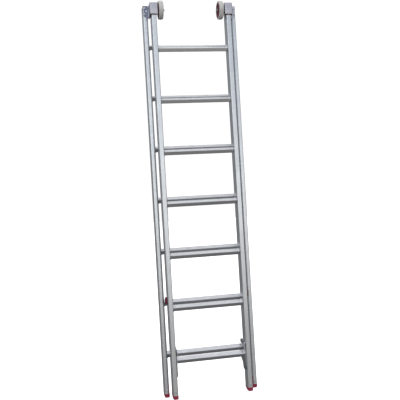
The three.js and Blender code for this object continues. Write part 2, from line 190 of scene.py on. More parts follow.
def fillet(corners, radius, steps, closed=True):
    """A polygon with round corners. At each corner the two sides, a and b, are cut back by
    radius / tan(half the angle between them), or by 0.49 of the shorter side if that is less, and
    an arc about the point on their bisector joins the cuts. The radius may be one number or one
    for each corner."""
    p = np.asarray(corners, float)
    before = np.roll(p, 1, axis=0) - p
    after = np.roll(p, -1, axis=0) - p
    la = np.linalg.norm(before, axis=1, keepdims=True)
    lb = np.linalg.norm(after, axis=1, keepdims=True)
    a, b = before / la, after / lb
    half = np.arccos(np.clip((a * b).sum(1), -1, 1))[:, None] / 2
    reach = np.minimum(np.broadcast_to(np.reshape(radius, (-1, 1)), half.shape) / np.tan(half),
                       0.49 * np.minimum(la, lb))
    r = reach * np.tan(half)
    bisector = (a + b) / np.linalg.norm(a + b, axis=1, keepdims=True)
    centre = p + bisector * r / np.sin(half)
    start, end = p + a * reach - centre, p + b * reach - centre
    from_angle = np.arctan2(start[:, 1], start[:, 0])[:, None]
    sweep = np.arctan2(end[:, 1], end[:, 0])[:, None] - from_angle
    sweep = (sweep + math.pi) % (2 * math.pi) - math.pi
    angle = from_angle + sweep * np.linspace(0, 1, steps + 1)
    arcs = centre[:, None] + r[:, None] * circle(angle)
    if closed:
        return arcs.reshape(-1, 2)
    return around(p[:1], arcs[1:-1].reshape(-1, 2), p[-1:])


def rectangle(width, height, radius, steps=4):
    """Rectangle about (0, 0), anticlockwise from its far corner, with round corners."""
    u, v = width / 2, height / 2
    return fillet([(u, v), (-u, v), (-u, -v), (u, -v)], radius, steps)


def outward(outline, closed=True):
    """Unit normal at each point of an anticlockwise outline: the chord from the point before
    to the point after, turned a quarter turn clockwise."""
    chord = np.roll(outline, -1, axis=0) - np.roll(outline, 1, axis=0)
    if not closed:
        chord[0] = outline[1] - outline[0]
        chord[-1] = outline[-1] - outline[-2]
    chord /= np.linalg.norm(chord, axis=1, keepdims=True)
    return np.stack([chord[:, 1], -chord[:, 0]], axis=1)


def resample(outline, spacing):
    """Points about `spacing` apart along a closed outline, its own corners kept."""
    ends = np.roll(outline, -1, axis=0)
    counts = np.maximum(1, np.ceil(np.linalg.norm(ends - outline, axis=1) / spacing)).astype(int)
    parts = [a + (b - a) * np.arange(n)[:, None] / n for a, b, n in zip(outline, ends, counts)]
    return around(*parts)


def quads_between(low, high):
    """Quads that join rings of corner numbers, one row each, to the rings next to them."""
    sides = [low, np.roll(low, -1, axis=1), np.roll(high, -1, axis=1), high]
    return np.stack([side.ravel() for side in sides], axis=1)


def loft(rings, closed=False, wear=0.0):
    """A closed shell through a stack of rings (stations, points, 3): quads join each ring to the
    next, and flat faces close the two ends, or the last ring joins the first again."""
    rings = np.asarray(rings, float)
    stations, count = rings.shape[:2]
    corner = np.arange(stations * count).reshape(stations, count)
    low = corner if closed else corner[:-1]
    high = np.roll(corner, -1, axis=0) if closed else corner[1:]
    quads = quads_between(low, high)
    caps = [] if closed else [corner[0][::-1], corner[-1]]
    rubbed = np.broadcast_to(np.asarray(wear, float), (stations, count)).ravel()
    return rings.reshape(-1, 3), quads, caps, rubbed


def along(axis, outlines, stations):
    """Plan outlines (stations, points, 2) set at places along an axis. The outline's first
    coordinate is the next axis in the order x, y, z, x and its second the one after."""
    outlines = np.asarray(outlines, float)
    stations = np.broadcast_to(np.reshape(stations, (-1, 1)), outlines.shape[:2])
    points = np.empty(outlines.shape[:2] + (3,))
    points[..., axis] = stations
    points[..., (axis + 1) % 3] = outlines[..., 0]
    points[..., (axis + 2) % 3] = outlines[..., 1]
    return points


def rims(low, high, radius):
    """Two quarter circles, one at each end of a thickness: the outline closes in by
    r (1 - cos a) while it advances by r sin a. Returns insets, places and wear."""
    angle = np.linspace(0, math.pi / 2, RIM_STEPS + 1)
    inset, advance = radius * (1 - np.cos(angle)), radius * np.sin(angle)
    places = around(low + radius - advance[::-1], high - radius + advance)
    return around(inset[::-1], inset), places, np.sin(2 * around(angle[::-1], angle))


def prism(outline, axis, low, high, radius, recess=()):
    """An outline carried along an axis between rounded rims. A recess adds rings
    (inset, advance) inside the high rim."""
    normal = outward(outline)
    insets, places, rubbed = rims(low, high, radius)
    for extra_inset, extra_advance in recess:
        insets = around(insets, [extra_inset])
        places = around(places, [high + extra_advance])
        rubbed = around(rubbed, [0])
    outlines = outline[None] - normal[None] * insets[:, None, None]
    return loft(along(axis, outlines, places), wear=rubbed[:, None])


def revolve(profile, segments, axis=0, centre=(0, 0, 0), closed=False, wear=0.0):
    """A profile of (radius, distance along the axis) turned about the axis: each station is a
    ring of that radius. A closed profile gives a ring with a bore."""
    profile = np.asarray(profile, float)
    turn = np.linspace(0, 2 * math.pi, segments, endpoint=False)
    outlines = profile[:, :1, None] * circle(turn)
    points = along(axis, outlines, profile[:, 1]) + np.asarray(centre)
    rubbed = np.broadcast_to(np.reshape(wear, (-1, 1)), points.shape[:2])
    return loft(points, closed=closed, wear=rubbed)


def strip(path, thickness, low, high, edge):
    """Sheet folded along a plan path: its section, a tall bar with round edges, is carried along
    the path square to it. A point of the section at turn t lies sign(cos t) (thickness / 2 - edge)
    + edge cos t from the path, and edge (1 - sin t) inside the sheet's lower or upper edge."""
    normal = outward(path, closed=False)
    facets = 16
    turn = (np.arange(facets) + 0.5) * 2 * math.pi / facets
    across = np.sign(np.cos(turn)) * (thickness / 2 - edge) + edge * np.cos(turn)
    low = np.broadcast_to(low, len(path))[:, None]
    high = np.broadcast_to(high, len(path))[:, None]
    height = np.where(np.sin(turn) > 0, high - edge, low + edge) + edge * np.sin(turn)
    plan = path[:, None] + normal[:, None] * across[None, :, None]
    points = np.concatenate([plan, height[..., None]], axis=2)
    return loft(points, wear=np.abs(np.sin(2 * turn))[None])


def inside(points, outline):
    """Even-odd test: a point is inside if a line from it to +x meets the outline an odd number
    of times."""
    x, y = points[:, :1], points[:, 1:]
    a, b = outline, np.roll(outline, -1, axis=0)
    spans = (a[:, 1] > y) != (b[:, 1] > y)
    rise = np.where(b[:, 1] == a[:, 1], 1, b[:, 1] - a[:, 1])
    meets = x < (b[:, 0] - a[:, 0]) * (y - a[:, 1]) / rise + a[:, 0]
    return (spans & meets).sum(1) % 2 == 1


def plate(outline, hole, axis, low, high, edge):
    """A flat plate with a hole: both outlines are carried through the plate between rounded rims,
    and triangles between them fill its two faces."""
    insets, places, rubbed = rims(low, high, edge)
    walls = [ring[None] - sign * outward(ring)[None] * insets[:, None, None]
             for ring, sign in ((outline, 1), (hole, -1))]
    rings = np.concatenate(walls, axis=1)
    points = along(axis, rings, places)
    stations, count = points.shape[:2]
    corner = np.arange(stations * count).reshape(stations, count)
    quads = []
    for first, last in ((0, len(outline)), (len(outline), count)):
        loop = corner[:, first:last]
        wall = quads_between(loop[:-1], loop[1:])
        quads.append(wall[:, ::-1] if first else wall)
    flat = rings[0]
    ends = [np.arange(len(outline)), len(outline) + np.arange(len(hole))]
    edges = np.concatenate([np.stack([e, np.roll(e, -1)], axis=1) for e in ends])
    smallest = 1e-7
    found = delaunay_2d_cdt([Vector(p) for p in flat], edges.tolist(), [], 0, smallest)
    back = np.array([ids[0] for ids in found[3]])
    triangles = back[np.array(found[2])]
    middles = flat[triangles].mean(1)
    kept = triangles[inside(middles, walls[0][0]) & ~inside(middles, walls[1][0])]
    caps = [*kept[:, ::-1], *(kept + (stations - 1) * count)]
    wear = np.broadcast_to(rubbed[:, None], (stations, count)).ravel()
    return points.reshape(-1, 3), np.concatenate(quads), caps, wear


def mirrored(shell, side):
    """The same shell on the other side of the ladder's middle where side is -1."""
    points, quads, caps, wear = shell
    return points * np.array([side, 1, 1]), quads, caps, wear


def facing_out(points, quads, caps):
    """Faces turned round if the shell's volume, the sum of a . (b x c) / 6 over its triangles,
    comes out negative."""
    a, b, c, d = points[quads.T]
    volume = (a * (np.cross(b, c) + np.cross(c, d))).sum()
    for cap in caps:
        ring = points[cap]
        volume += (ring[0] * np.cross(ring[1:-1], ring[2:])).sum()
    if volume > 0:
        return quads, caps
    return quads[:, ::-1], [cap[::-1] for cap in caps]


def add_object(name, data):
    """A new object in the scene, at the origin."""
    made = bpy.data.objects.new(name, data)
    bpy.context.scene.collection.objects.link(made)
    return made


def add_piece(node, kind, shells, sharp=35):
    """One object made of closed shells. It stands for the solid `node`, rides its body and takes
    its slot's finish."""
    points, faces, wear = [], [], []
    first = 0
    for corners, quads, caps, rubbed in shells:
        quads, caps = facing_out(corners, quads, caps)
        faces += (quads + first).tolist() + [(cap + first).tolist() for cap in caps]
        points.append(corners)
        wear.append(rubbed)
        first += len(corners)
    mesh = bpy.data.meshes.new(f"{node}_{kind}")
    mesh.from_pydata(np.concatenate(points), [], faces)
    layer = mesh.attributes.new("wear", "FLOAT", "POINT")
    layer.data.foreach_set("value", np.concatenate(wear).astype(np.float32))
    mesh.shade_smooth()
    mesh.set_sharp_from_angle(angle=math.radians(sharp))
    mesh.materials.append(finish(SLOT_OF[node]))
    piece = add_object(mesh.name, mesh)
    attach(piece, BODY_OF[node])
    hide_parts(node)


# ---- Shader maths ----

class Wire:
    """An output socket. Sums, products and the like of wires and numbers add Math nodes."""

    def __init__(self, graph, socket):
        self.graph = graph
        self.socket = socket

    def maths(self, operation, *values):
        return self.graph.node("ShaderNodeMath", {"operation": operation}, dict(enumerate(values)))

    def __add__(self, other):
        return self.maths("ADD", self, other)

    def __sub__(self, other):
        return self.maths("SUBTRACT", self, other)

    def __rsub__(self, other):
        return self.maths("SUBTRACT", other, self)

    def __mul__(self, other):
        return self.maths("MULTIPLY", self, other)

    __radd__ = __add__
    __rmul__ = __mul__


class Graph:
    """A node tree being written."""

    def __init__(self, tree):
        self.tree = tree
        tree.nodes.clear()

    def find(self, sockets, key):
        """A socket by number, by identifier or by name."""
        if isinstance(key, int):
            return sockets[key]
        exact = [s for s in sockets if s.identifier == key]
        return exact[0] if exact else sockets[key]

    def node(self, kind, settings=None, sockets=None, output=0):
        """Adds a node: its settings first, a ramp's stops among them, then the values or links of
        its sockets. Returns a wire from its output."""
        made = self.tree.nodes.new(kind)
        for name, value in (settings or {}).items():
            if name == "stops":
                ramp = made.color_ramp.elements
                for stop, (position, *level) in enumerate(value):
                    element = ramp[stop] if stop < 2 else ramp.new(position)
                    element.position = position
                    element.color = (*level, 1)
            else:
                setattr(made, name, value)
        for key, value in (sockets or {}).items():
            socket = self.find(made.inputs, key)
            if isinstance(value, Wire):
                self.tree.links.new(value.socket, socket)
            else:
                socket.default_value = value
        return Wire(self, self.find(made.outputs, output)) if made.outputs else None

    def place(self, scale=(1, 1, 1)):
        """Object coordinates in metres, stretched by a scale."""
        point = self.node("ShaderNodeTexCoord", output="Object")
        return self.node("ShaderNodeMapping", sockets={"Vector": point, "Scale": scale})

    def noise(self, scale, detail=3.0, rough=0.5, stretch=(1, 1, 1)):
        """Noise on Object coordinates; a stretch below 1 draws it out along that axis."""
        return self.node("ShaderNodeTexNoise", sockets={
            "Vector": self.place(stretch), "Scale": scale, "Detail": detail, "Roughness": rough,
        }, output="Fac")

    def part(self, vector, axis):
        """The X, Y or Z of a vector."""
        return self.node("ShaderNodeSeparateXYZ", sockets={"Vector": vector}, output=axis)

    def band(self, value, start, end, low=0.0, high=1.0):
        """A value that climbs smoothly from low to high as another goes from start to end."""
        return self.node("ShaderNodeMapRange", {"interpolation_type": "SMOOTHSTEP"}, {
            "Value": value, "From Min": start, "From Max": end, "To Min": low, "To Max": high})

    def mix(self, factor, a, b):
        return self.node("ShaderNodeMix", {"data_type": "RGBA"}, {
            "Factor_Float": factor, "A_Color": a, "B_Color": b}, output="Result_Color")

    def bump(self, height, distance, strength):
        return self.node("ShaderNodeBump", sockets={
            "Height": height, "Distance": distance, "Strength": strength})

    def rubbed(self, scale, detail, start, end):
        """The wear attribute that every piece carries, which is 1 along its corners and rims, where
        they are rubbed, and more on the hook's front strip and the rivet heads, where it paints a
        highlight; broken up by a band of noise."""
        wear = self.node("ShaderNodeAttribute", {"attribute_name": "wear"}, output="Fac")
        return wear * self.band(self.noise(scale, detail), start, end)

    def surface(self, **sockets):
        """Ends the material in a Principled shader."""
        named = {name.replace("_", " "): value for name, value in sockets.items()}
        shader = self.node("ShaderNodeBsdfPrincipled", sockets=named)
        self.node("ShaderNodeOutputMaterial", sockets={"Surface": shader})


def tint(colour, factor=1.0):
    """A colour property as four numbers, made lighter or darker."""
    return tuple(min(1.0, channel * factor) for channel in colour) + (1.0,)


def drawn_aluminium(graph, colour, wear, lengthwise):
    """Extruded metal: die lines run the length of the piece, with patches of duller oxide, rubbed
    brighter corners and a few short scuffs."""
    across = tuple(1.0 if axis != lengthwise else 0.012 for axis in range(3))
    lines = graph.noise(900, 4, 0.65, across)
    fine = graph.noise(2600, 2, stretch=across)
    cloud = graph.noise(9)
    streak = tuple(1.0 if axis != lengthwise else 0.12 for axis in range(3))
    scuff = graph.band(graph.noise(130, 4, 0.7, streak), 0.66, 0.72)
    corner = graph.rubbed(60, 4, 0.4, 0.65)
    shade = graph.mix(graph.band(lines, 0.3, 0.7), tint(colour, 0.90), tint(colour, 1.05))
    shade = graph.mix(graph.band(cloud, 0.35, 0.75) * 0.35, shade, tint(colour, 0.86))
    shade = graph.mix(scuff * (0.35 * wear), shade, tint(colour, 0.6))
    shade = graph.mix(corner * wear, shade, tint(colour, 1.25))
    rough = 0.22 + 0.10 * lines + 0.09 * cloud + scuff * (0.2 * wear) - corner * (0.1 * wear)
    height = lines * 0.7 + fine * 0.3 - scuff * 0.5
    graph.surface(Base_Color=shade, Metallic=1.0, Roughness=rough,
                  Normal=graph.bump(height, 0.05 * MM, 0.5))


def stile_finish(graph, colours):
    drawn_aluminium(graph, colours.stile, colours.wear, lengthwise=2)


def rung_finish(graph, colours):
    drawn_aluminium(graph, colours.tread, colours.wear, lengthwise=0)


def sheet_finish(graph, colours):
    """Rolled sheet, satin, with a fine grain along the roll and dull finger marks. The outer part
    of the flange on the left is painted a dark blue grey, a painted dark reflection of the room
    beside it."""
    colour, wear = colours.sheet, colours.wear
    grain = graph.noise(1500, 3, 0.6, (1, 1, 0.05))
    mark = graph.noise(45)
    corner = graph.rubbed(90, 3, 0.35, 0.6)
    shade = graph.mix(grain, tint(colour, 0.9), tint(colour, 1.08))
    shade = graph.mix(graph.band(mark, 0.5, 0.75) * 0.3, shade, tint(colour, 0.8))
    shade = graph.mix(corner * wear, shade, tint(colour, 1.3))
    # painted dark reflection: the left flange beyond its bend is darkened to a blue grey, as if it
    # mirrored the dark room beside it
    painted_dark_reflection = (0.15, 0.17, 0.25, 1)
    bend = bracket_path()[1] + 1.75 * MM
    # mask of the painted dark reflection: 1 on the outer part of the left flange, 0 elsewhere
    flange = graph.band(graph.part(graph.place(), "X"), -bend - 3 * MM, -bend, 1.0, 0.0)
    shade = graph.mix(flange * 0.9, shade, painted_dark_reflection)
    rough = 0.34 + 0.14 * mark + 0.06 * grain
    graph.surface(Base_Color=shade, Metallic=1.0, Roughness=rough,
                  Normal=graph.bump(grain, 0.03 * MM, 0.4))


def zinc_finish(graph, colours):
    """Zinc plate: faint crystals of different brightness, a passivated tint and dull patches."""
    colour, wear = colours.zinc, colours.wear
    cells = graph.node("ShaderNodeTexVoronoi", {"feature": "F1"}, {
        "Vector": graph.place(), "Scale": 420.0}, output="Color")
    crystal = graph.node("ShaderNodeSeparateColor", sockets={"Color": cells})
    patch = graph.noise(70, 4, 0.6)
    corner = graph.rubbed(120, 3, 0.4, 0.6)
    shade = graph.mix(crystal, tint(colour, 0.85), tint(colour, 1.12))
    shade = graph.mix(graph.band(patch, 0.45, 0.7) * 0.4, shade, (0.36, 0.36, 0.30, 1))
    # lighter where the wear attribute is high: rubbed corners, and a painted highlight over the
    # hook's front strip and the rivet heads
    shade = graph.mix(corner * wear, shade, tint(colour, 1.8))
    rough = 0.30 + 0.10 * crystal + 0.20 * patch
    graph.surface(Base_Color=shade, Metallic=1.0, Roughness=rough,
                  Normal=graph.bump(patch, 0.05 * MM, 0.4))


def moulded(graph, colour, wear, pale):
    """Moulded plastic: spark-eroded grain and slight flow marks, pale where its corners are
    rubbed and where it is scratched."""
    grain = graph.noise(2400, 2)
    flow = graph.noise(55, stretch=(1, 1, 0.4))
    scratch = graph.band(graph.noise(420, 4, 0.7, (1, 0.15, 1)), 0.64, 0.7)
    corner = graph.rubbed(150, 4, 0.35, 0.65)
    shade = graph.mix(flow, tint(colour, 0.85), tint(colour, 1.15))
    shade = graph.mix(corner * (0.5 * wear) + scratch * (0.25 * wear), shade, pale)
    rough = 0.42 + 0.10 * flow + 0.08 * grain + scratch * (0.2 * wear)
    graph.surface(Base_Color=shade, Roughness=rough, Specular_IOR_Level=0.45,
                  Normal=graph.bump(grain * 0.6 - scratch * 0.4, 0.06 * MM, 0.5))


def red_finish(graph, colours):
    moulded(graph, colours.red, colours.wear, (0.55, 0.22, 0.27, 1))


def dark_red_finish(graph, colours):
    moulded(graph, colours.dark_red, colours.wear, (0.22, 0.10, 0.12, 1))


def cap_finish(graph, colours):
    moulded(graph, colours.cap, colours.wear, (0.30, 0.31, 0.32, 1))


def rubber_finish(graph, colours):
    """Grey rubber: matt, finely pitted, with darker rolling marks and pale bloom."""
    colour, wear = colours.rubber, colours.wear
    pits = graph.noise(1800, 3, 0.6)
    bloom = graph.noise(40, 4, 0.6)
    mark = graph.band(graph.noise(160, 4, 0.7, (0.4, 1, 1)), 0.58, 0.68)
    shade = graph.mix(graph.band(bloom, 0.35, 0.7), tint(colour, 0.88), tint(colour, 1.10))
    shade = graph.mix(mark * (0.5 * wear), shade, tint(colour, 0.55))
    shade = graph.mix(pits, shade, tint(colour, 0.95))
    graph.surface(Base_Color=shade, Roughness=0.72 + 0.15 * bloom, Specular_IOR_Level=0.3,
                  Normal=graph.bump(pits, 0.08 * MM, 0.5))


FINISHES = {
    "stile_aluminium": stile_finish,
    "rung_aluminium": rung_finish,
    "bracket_aluminium": sheet_finish,
    "zinc_steel": zinc_finish,
    "red_plastic": red_finish,
    "dark_red_plastic": dark_red_finish,
    "grey_rubber": rubber_finish,
    "cap_plastic": cap_finish,
}


def new_material(name):
    """A new material, and the graph of its nodes."""
    material = bpy.data.materials.new(name)
    material.use_nodes = True
    return material, Graph(material.node_tree)


def finish(slot):
    """The material of a slot, made the first time it is asked for."""
    name = f"{slot}_finish"
    if name not in bpy.data.materials:
        _, graph = new_material(name)
        FINISHES[slot](graph, bpy.context.scene.ladder_finishes)
    return bpy.data.materials[name]


# ---- Pieces ----

def valleys(u, centres, width):
    """Round-bottomed grooves across u: the sum of exp(-((u - c) / width)^2) over the centres c."""
    return sum(np.exp(-((u - centre) / width) ** 2) for centre in centres)


def tilted(points):
    """Points (y, z) turned so that what is level leans with a rung's tread."""
    c, s = math.cos(RUNG_TILT), math.sin(RUNG_TILT)
    return points @ np.array([[c, s], [-s, c]])


def stile_outline(width, depth, flute, rolled):
    """Round-cornered box section; its front corner on the `rolled` side, if that isn't 0, has a
    wide radius. Its flat faces dip by the flute's depth in narrow grooves."""
    plain_radius, rolled_radius = 4.6 * MM, 11.5 * MM
    radii = [plain_radius] * 4
    if rolled:
        radii[2 if rolled < 0 else 3] = rolled_radius
    outline = resample(rectangle(width, depth, radii, 10), 0.8 * MM)
    normal = outward(outline)
    on_front = np.abs(normal[:, 1]) > 0.99
    on_side = np.abs(normal[:, 0]) > 0.99
    front_grooves, side_grooves = np.array((-5.2, 0, 5.2)) * MM, np.array((-18, -6, 6, 18)) * MM
    groove_width = 0.9 * MM
    dip = on_front * valleys(outline[:, 0], front_grooves, groove_width)
    dip = dip + on_side * valleys(outline[:, 1], side_grooves, groove_width)
    corner = np.abs(2 * normal[:, 0] * normal[:, 1])
    return outline - normal * (flute * dip)[:, None], corner


def stile_shell(node, shapes):
    """The section carried from foot to cap, outside up and inside down. A base stile's corner
    next to the fly is rolled over."""
    low, high, middle = box(node)
    rolled = -np.sign(middle[0]) if node.startswith("base") else 0
    outline, corner = stile_outline(high[0] - low[0], high[1] - low[1], shapes.flute_depth, rolled)
    inner = outline - outward(outline) * STILE_WALL
    rings = np.stack([outline, outline, inner, inner]) + middle[:2]
    return loft(along(2, rings, [low[2], high[2], high[2], low[2]]), closed=True,
                wear=np.stack([corner, corner, corner * 0, corner * 0]))


def rung_outline(shapes):
    """Box section with ribs on the tread: height + rib * clip(0.5 + 0.9 cos(2 pi u / pitch), 0, 1),
    and two shallow grooves below."""
    outline = resample(rectangle(RUNG_DEPTH, RUNG_HEIGHT, 3 * MM), 0.45 * MM)
    normal = outward(outline)
    u = outline[:, 0]
    span = RUNG_DEPTH - 8 * MM
    pitch = span / (shapes.tread_ribs - 1)
    rib = np.clip(0.5 + 0.9 * np.cos(2 * math.pi * (u + span / 2) / pitch), 0, 1)
    rib = rib * (normal[:, 1] > 0.99) * (np.abs(u) < span / 2 + pitch / 2)
    groove_place, groove_width, groove_depth = 5 * MM, 0.9 * MM, 0.4 * MM
    below = (normal[:, 1] < -0.99) * valleys(np.abs(u), [groove_place], groove_width)
    return outline, normal, rib * shapes.rib_height - below * groove_depth, rib


def rung_shell(node, inner_face, shapes):
    """The section carried between the stiles. Near each stile the ribs fade and the wall swells by
    rise * sin^2 into the bead that locks it, then runs on into the stile."""
    _, high, middle = box(node)
    outline, normal, relief, rib = rung_outline(shapes)
    bead, rise_at_stile = 7 * MM, 1.9 * MM
    t = np.linspace(0, 1, 9)
    swell = COLLAR_RISE * np.sin(np.clip(t * 1.25, 0, 1) * math.pi / 2) ** 2
    swell[-1] = rise_at_stile
    fade = 1 - np.clip(t * 3, 0, 1)
    x = inner_face - GAP - bead * (1 - t)
    end = high[0]
    grow = around([0, 0], swell[::-1], swell, [0, 0])
    show = around([0, 0], fade[::-1], fade, [0, 0])
    rings = outline + normal * (grow[:, None] + show[:, None] * relief)[..., None]
    wall = outline - normal * RUNG_WALL
    rings = np.concatenate([rings, wall[None], wall[None]])
    places = around([-end, -inner_face], -x[::-1], x, [inner_face, end, end, -end])
    wear = np.concatenate([show[:, None] * rib, np.zeros((2, len(rib)))])
    return loft(along(0, tilted(rings) + middle[1:], places), closed=True, wear=wear)


def foot_shell(node, shapes):
    """Shoe: a section across the ladder is carried from toe to heel. Behind the flat toe the sole
    rises by heel rise * (distance / run)^1.9. The toe's tip lifts by tip rise * (1 - sqrt(1 - t^2))
    and both ends draw in sideways by 3 mm times the same curve. The lower corners are round."""
    (half, reach, _), middle = halves(node)
    collar_top, collar_low, lip, ease = 18 * MM, 15 * MM, 0.45 * MM, 0.3 * MM
    tip, tip_rise = 3 * MM, 4 * MM
    heel_start, heel_run, heel_rise = -2 * MM, 31 * MM, 14 * MM
    groove_start, groove_end = -reach + 4 * MM, 12 * MM
    y = np.unique(np.concatenate([
        np.linspace(-reach, reach, 117), np.linspace(-reach, -reach + tip, 9),
        np.linspace(reach - tip, reach, 9)]))
    sole = heel_rise * (np.clip(y - heel_start, 0, None) / heel_run) ** 1.9
    toe = np.clip((-reach + tip - y) / tip, 0, 1)
    sole = sole + tip_rise * (1 - np.sqrt(1 - toe ** 2))
    pitch = (groove_end - groove_start) / shapes.sole_ribs
    wave = np.cos(2 * math.pi * (y - groove_start) / pitch)
    groove = np.clip(-0.1 - 1.6 * wave, 0, 1) * (y > groove_start) * (y < groove_end)
    end = np.clip((np.abs(y) - reach + tip) / tip, 0, 1)
    wide = half - 3 * MM * (1 - np.sqrt(1 - end ** 2))
    body = wide - lip
    turn = np.linspace(0, math.pi / 2, 7)
    radius = np.clip(collar_low - sole - 0.2 * MM, 0.3 * MM, 5 * MM)
    side_x = [wide - ease, wide, wide, body]
    side_z = [collar_top, collar_top - ease, collar_low + 0.5 * MM, collar_low]
    side_x += [body - radius * (1 - math.cos(a)) for a in turn]
    side_z += [sole + radius * (1 - math.sin(a)) for a in turn]
    side_x += [body - radius - 0.4 * MM]
    side_z += [sole + groove * shapes.sole_groove]
    x = np.stack(side_x + [-v for v in side_x[::-1]], axis=1)
    z = np.stack([v + 0 * y for v in side_z + side_z[::-1]], axis=1)
    points = np.stack([x + middle[0], np.broadcast_to(y[:, None], x.shape) + middle[1], z], axis=2)
    worn = np.zeros(len(side_z))
    worn[4:4 + len(turn)] = np.sin(2 * turn + 0.2).clip(0)
    return loft(points, wear=around(worn, worn[::-1])[None])


def plug_shell(node, low, high):
    """The block that fills the stile's hollow between two heights."""
    stile, _ = halves("base_stile_right")
    width, depth = 2 * (stile[:2] - STILE_WALL - GAP)
    outline = rectangle(width, depth, 2 * MM) + box(node)[2][:2]
    return prism(outline, 2, low, high, 0.6 * MM)


def lid_shell(node, lid):
    """Lid flush with the stile, its rim rounded and its middle sunk by half a millimetre."""
    low, high, middle = box(node)
    outline = rectangle(high[0] - low[0], high[1] - low[1], 3 * MM) + middle[:2]
    sunk = ((2.6 * MM, 0), (3.1 * MM, -0.5 * MM))
    return prism(outline, 2, high[2] - lid, high[2], 0.7 * MM, sunk)


def rivet_shell(node, axis, toward):
    """Blind rivet: the head's profile r = R cos a, h = h0 + H sin a, with the hollow left by its
    mandrel in the middle, turned about the shank."""
    low, high, middle = box(node)
    rise, head, shank = 2.6 * MM, 5.5 * MM, 2.85 * MM
    rim, dome_rise, ease = 0.35 * MM, 1.5 * MM, 0.3 * MM
    seat = (low[axis] + rise) if toward < 0 else (high[axis] - rise)
    length = high[axis] - low[axis] - rise
    turn = np.linspace(0, math.radians(70), 7)
    dome = np.stack([head * np.cos(turn), rim + dome_rise * np.sin(turn)], axis=1)
    hollow = [(1.65 * MM, 1.7 * MM), (1.5 * MM, 1.45 * MM), (1.45 * MM, 0.8 * MM)]
    profile = around([(shank - 0.25 * MM, -length), (shank, ease - length), (shank, 0),
                      (head - 0.2 * MM, 0)], dome, hollow)
    profile[:, 1] = seat + toward * profile[:, 1]
    middle[axis] = 0
    wear = np.zeros(len(profile))
    wear[3:4 + len(turn)] = 2  # the head is painted lighter all over, a painted highlight
    return revolve(profile, 28, axis, middle, wear=wear)


def bracket_path():
    """Plan centre line of the folded bracket on the right, lip, web, leg and flange, with the
    places of its leg, web and flange."""
    low, high, _ = box("guide_bracket_right")
    liner_low, liner_high, _ = box("guide_liner_right")
    half = SHEET / 2
    lip_x, web_y, flange_y = low[0] + half, low[1] + half, high[1] - half
    leg_x = liner_high[0] + 2 * MM + half
    corners = [(lip_x, liner_low[1] + 10.5 * MM), (lip_x, web_y), (leg_x, web_y),
               (leg_x, flange_y), (high[0], flange_y)]
    return fillet(corners, 2.75 * MM, 6, closed=False), leg_x, web_y, flange_y


def bracket_shell(shapes):
    """The bracket's lower edge is level under lip and web, falls along the leg in step with y and
    climbs along the flange in step with x."""
    low, high, _ = box("guide_bracket_right")
    path, leg_x, web_y, flange_y = bracket_path()
    web_low, corner_low = low[2] + 11 * MM, low[2] + 16 * MM
    falling = np.interp(path[:, 1], [web_y, flange_y], [web_low, low[2]])
    climbing = np.interp(path[:, 0], [leg_x, high[0]], [low[2], corner_low])
    lower = np.where(path[:, 0] < leg_x - 3 * MM, web_low, falling)
    lower = np.where(path[:, 0] > leg_x + HAIR, climbing, lower)
    upper = np.interp(path[:, 0], [leg_x, leg_x + 3 * MM], [high[2], high[2] - 2 * MM])
    return strip(path, SHEET, lower, upper, shapes.sheet_edge)


def liner_shell(shapes):
    """U of plastic round the front of the fly's stile, its lower end drawn up into the guide."""
    low, high, _ = box("guide_liner_right")
    half, drawn_up = 1 * MM, 4 * MM
    corners = [(low[0] + half, low[1] + 10.5 * MM), (low[0] + half, low[1] + half),
               (high[0] - half, low[1] + half), (high[0] - half, high[1])]
    path = fillet(corners, 2 * MM, 5, closed=False)
    return strip(path, 2 * half, low[2] + drawn_up, high[2], shapes.sheet_edge)


HOOK_CORNERS = [  # (y from the stile's middle, z from the base rung's centre, corner radius), mm
    (-27, -81, 8), (-12, -102, 8), (22, -102, 6), (28.5, -97, 5), (33, -75, 10), (71, -48, 3),
    (73, -44, 3), (73, -19.5, 1.5), (71, -18, 2), (28.5, -18, 4), (28.5, 19, 3), (60, 19, 2),
    (62, 21, 2), (62, 38, 4), (27, 45, 12), (-27, 37, 5),
]


def hook_shells(side, shapes):
    """Fork plate with the fly's rung through it, and the strip folded along its front, whose colour
    is painted lighter all over: a painted highlight."""
    low, high, _ = box("rung_hook_right")
    stile, rung, fly_rung = (box(n)[2] for n in ("fly_stile_right", "base_rung_1", "fly_rung_1"))
    corners = np.array(HOOK_CORNERS) * MM
    outline = fillet(corners[:, :2], corners[:, 2], 4) + (stile[1], rung[2])
    grown = COLLAR_RISE + GAP
    hole = rectangle(RUNG_DEPTH + 2 * grown, RUNG_HEIGHT + 2 * grown, 3 * MM + grown)
    face, thick = high[0], 4 * MM
    fork = plate(outline, tilted(hole) + fly_rung[1:], 0, face - thick, face, shapes.sheet_edge)
    strip_width, strip_height, strip_thick = 8 * MM, 34 * MM, 3 * MM
    front = rectangle(strip_thick, strip_height, 0.8 * MM)
    front = front + (low[1] + strip_thick / 2, rung[2] + 18 * MM)
    points, quads, caps, worn = prism(front, 0, face - strip_width, face - 0.2 * MM,
                                      shapes.sheet_edge)
    # painted highlight: the strip's wear is raised by 3 so that its finish paints it lighter all
    # over
    return [mirrored(fork, side), mirrored((points, quads, caps, worn + 3), side)]


def pad_shell(side):
    """Block with a rounded top, its outer rim rounded over, its front set back a little."""
    low, high, _ = box("side_pad_right")
    set_back = 8 * MM
    low[1] += set_back
    corners = [(high[1], high[2]), (low[1], high[2]), (low[1], low[2]), (high[1], low[2])]
    outline = fillet(corners, [10 * MM, 10 * MM, 2 * MM, 2 * MM], 6)
    sunk = ((3.5 * MM, 0), (4.1 * MM, -0.6 * MM))
    return mirrored(prism(outline, 0, low[0], high[0], 1.2 * MM, sunk), side)


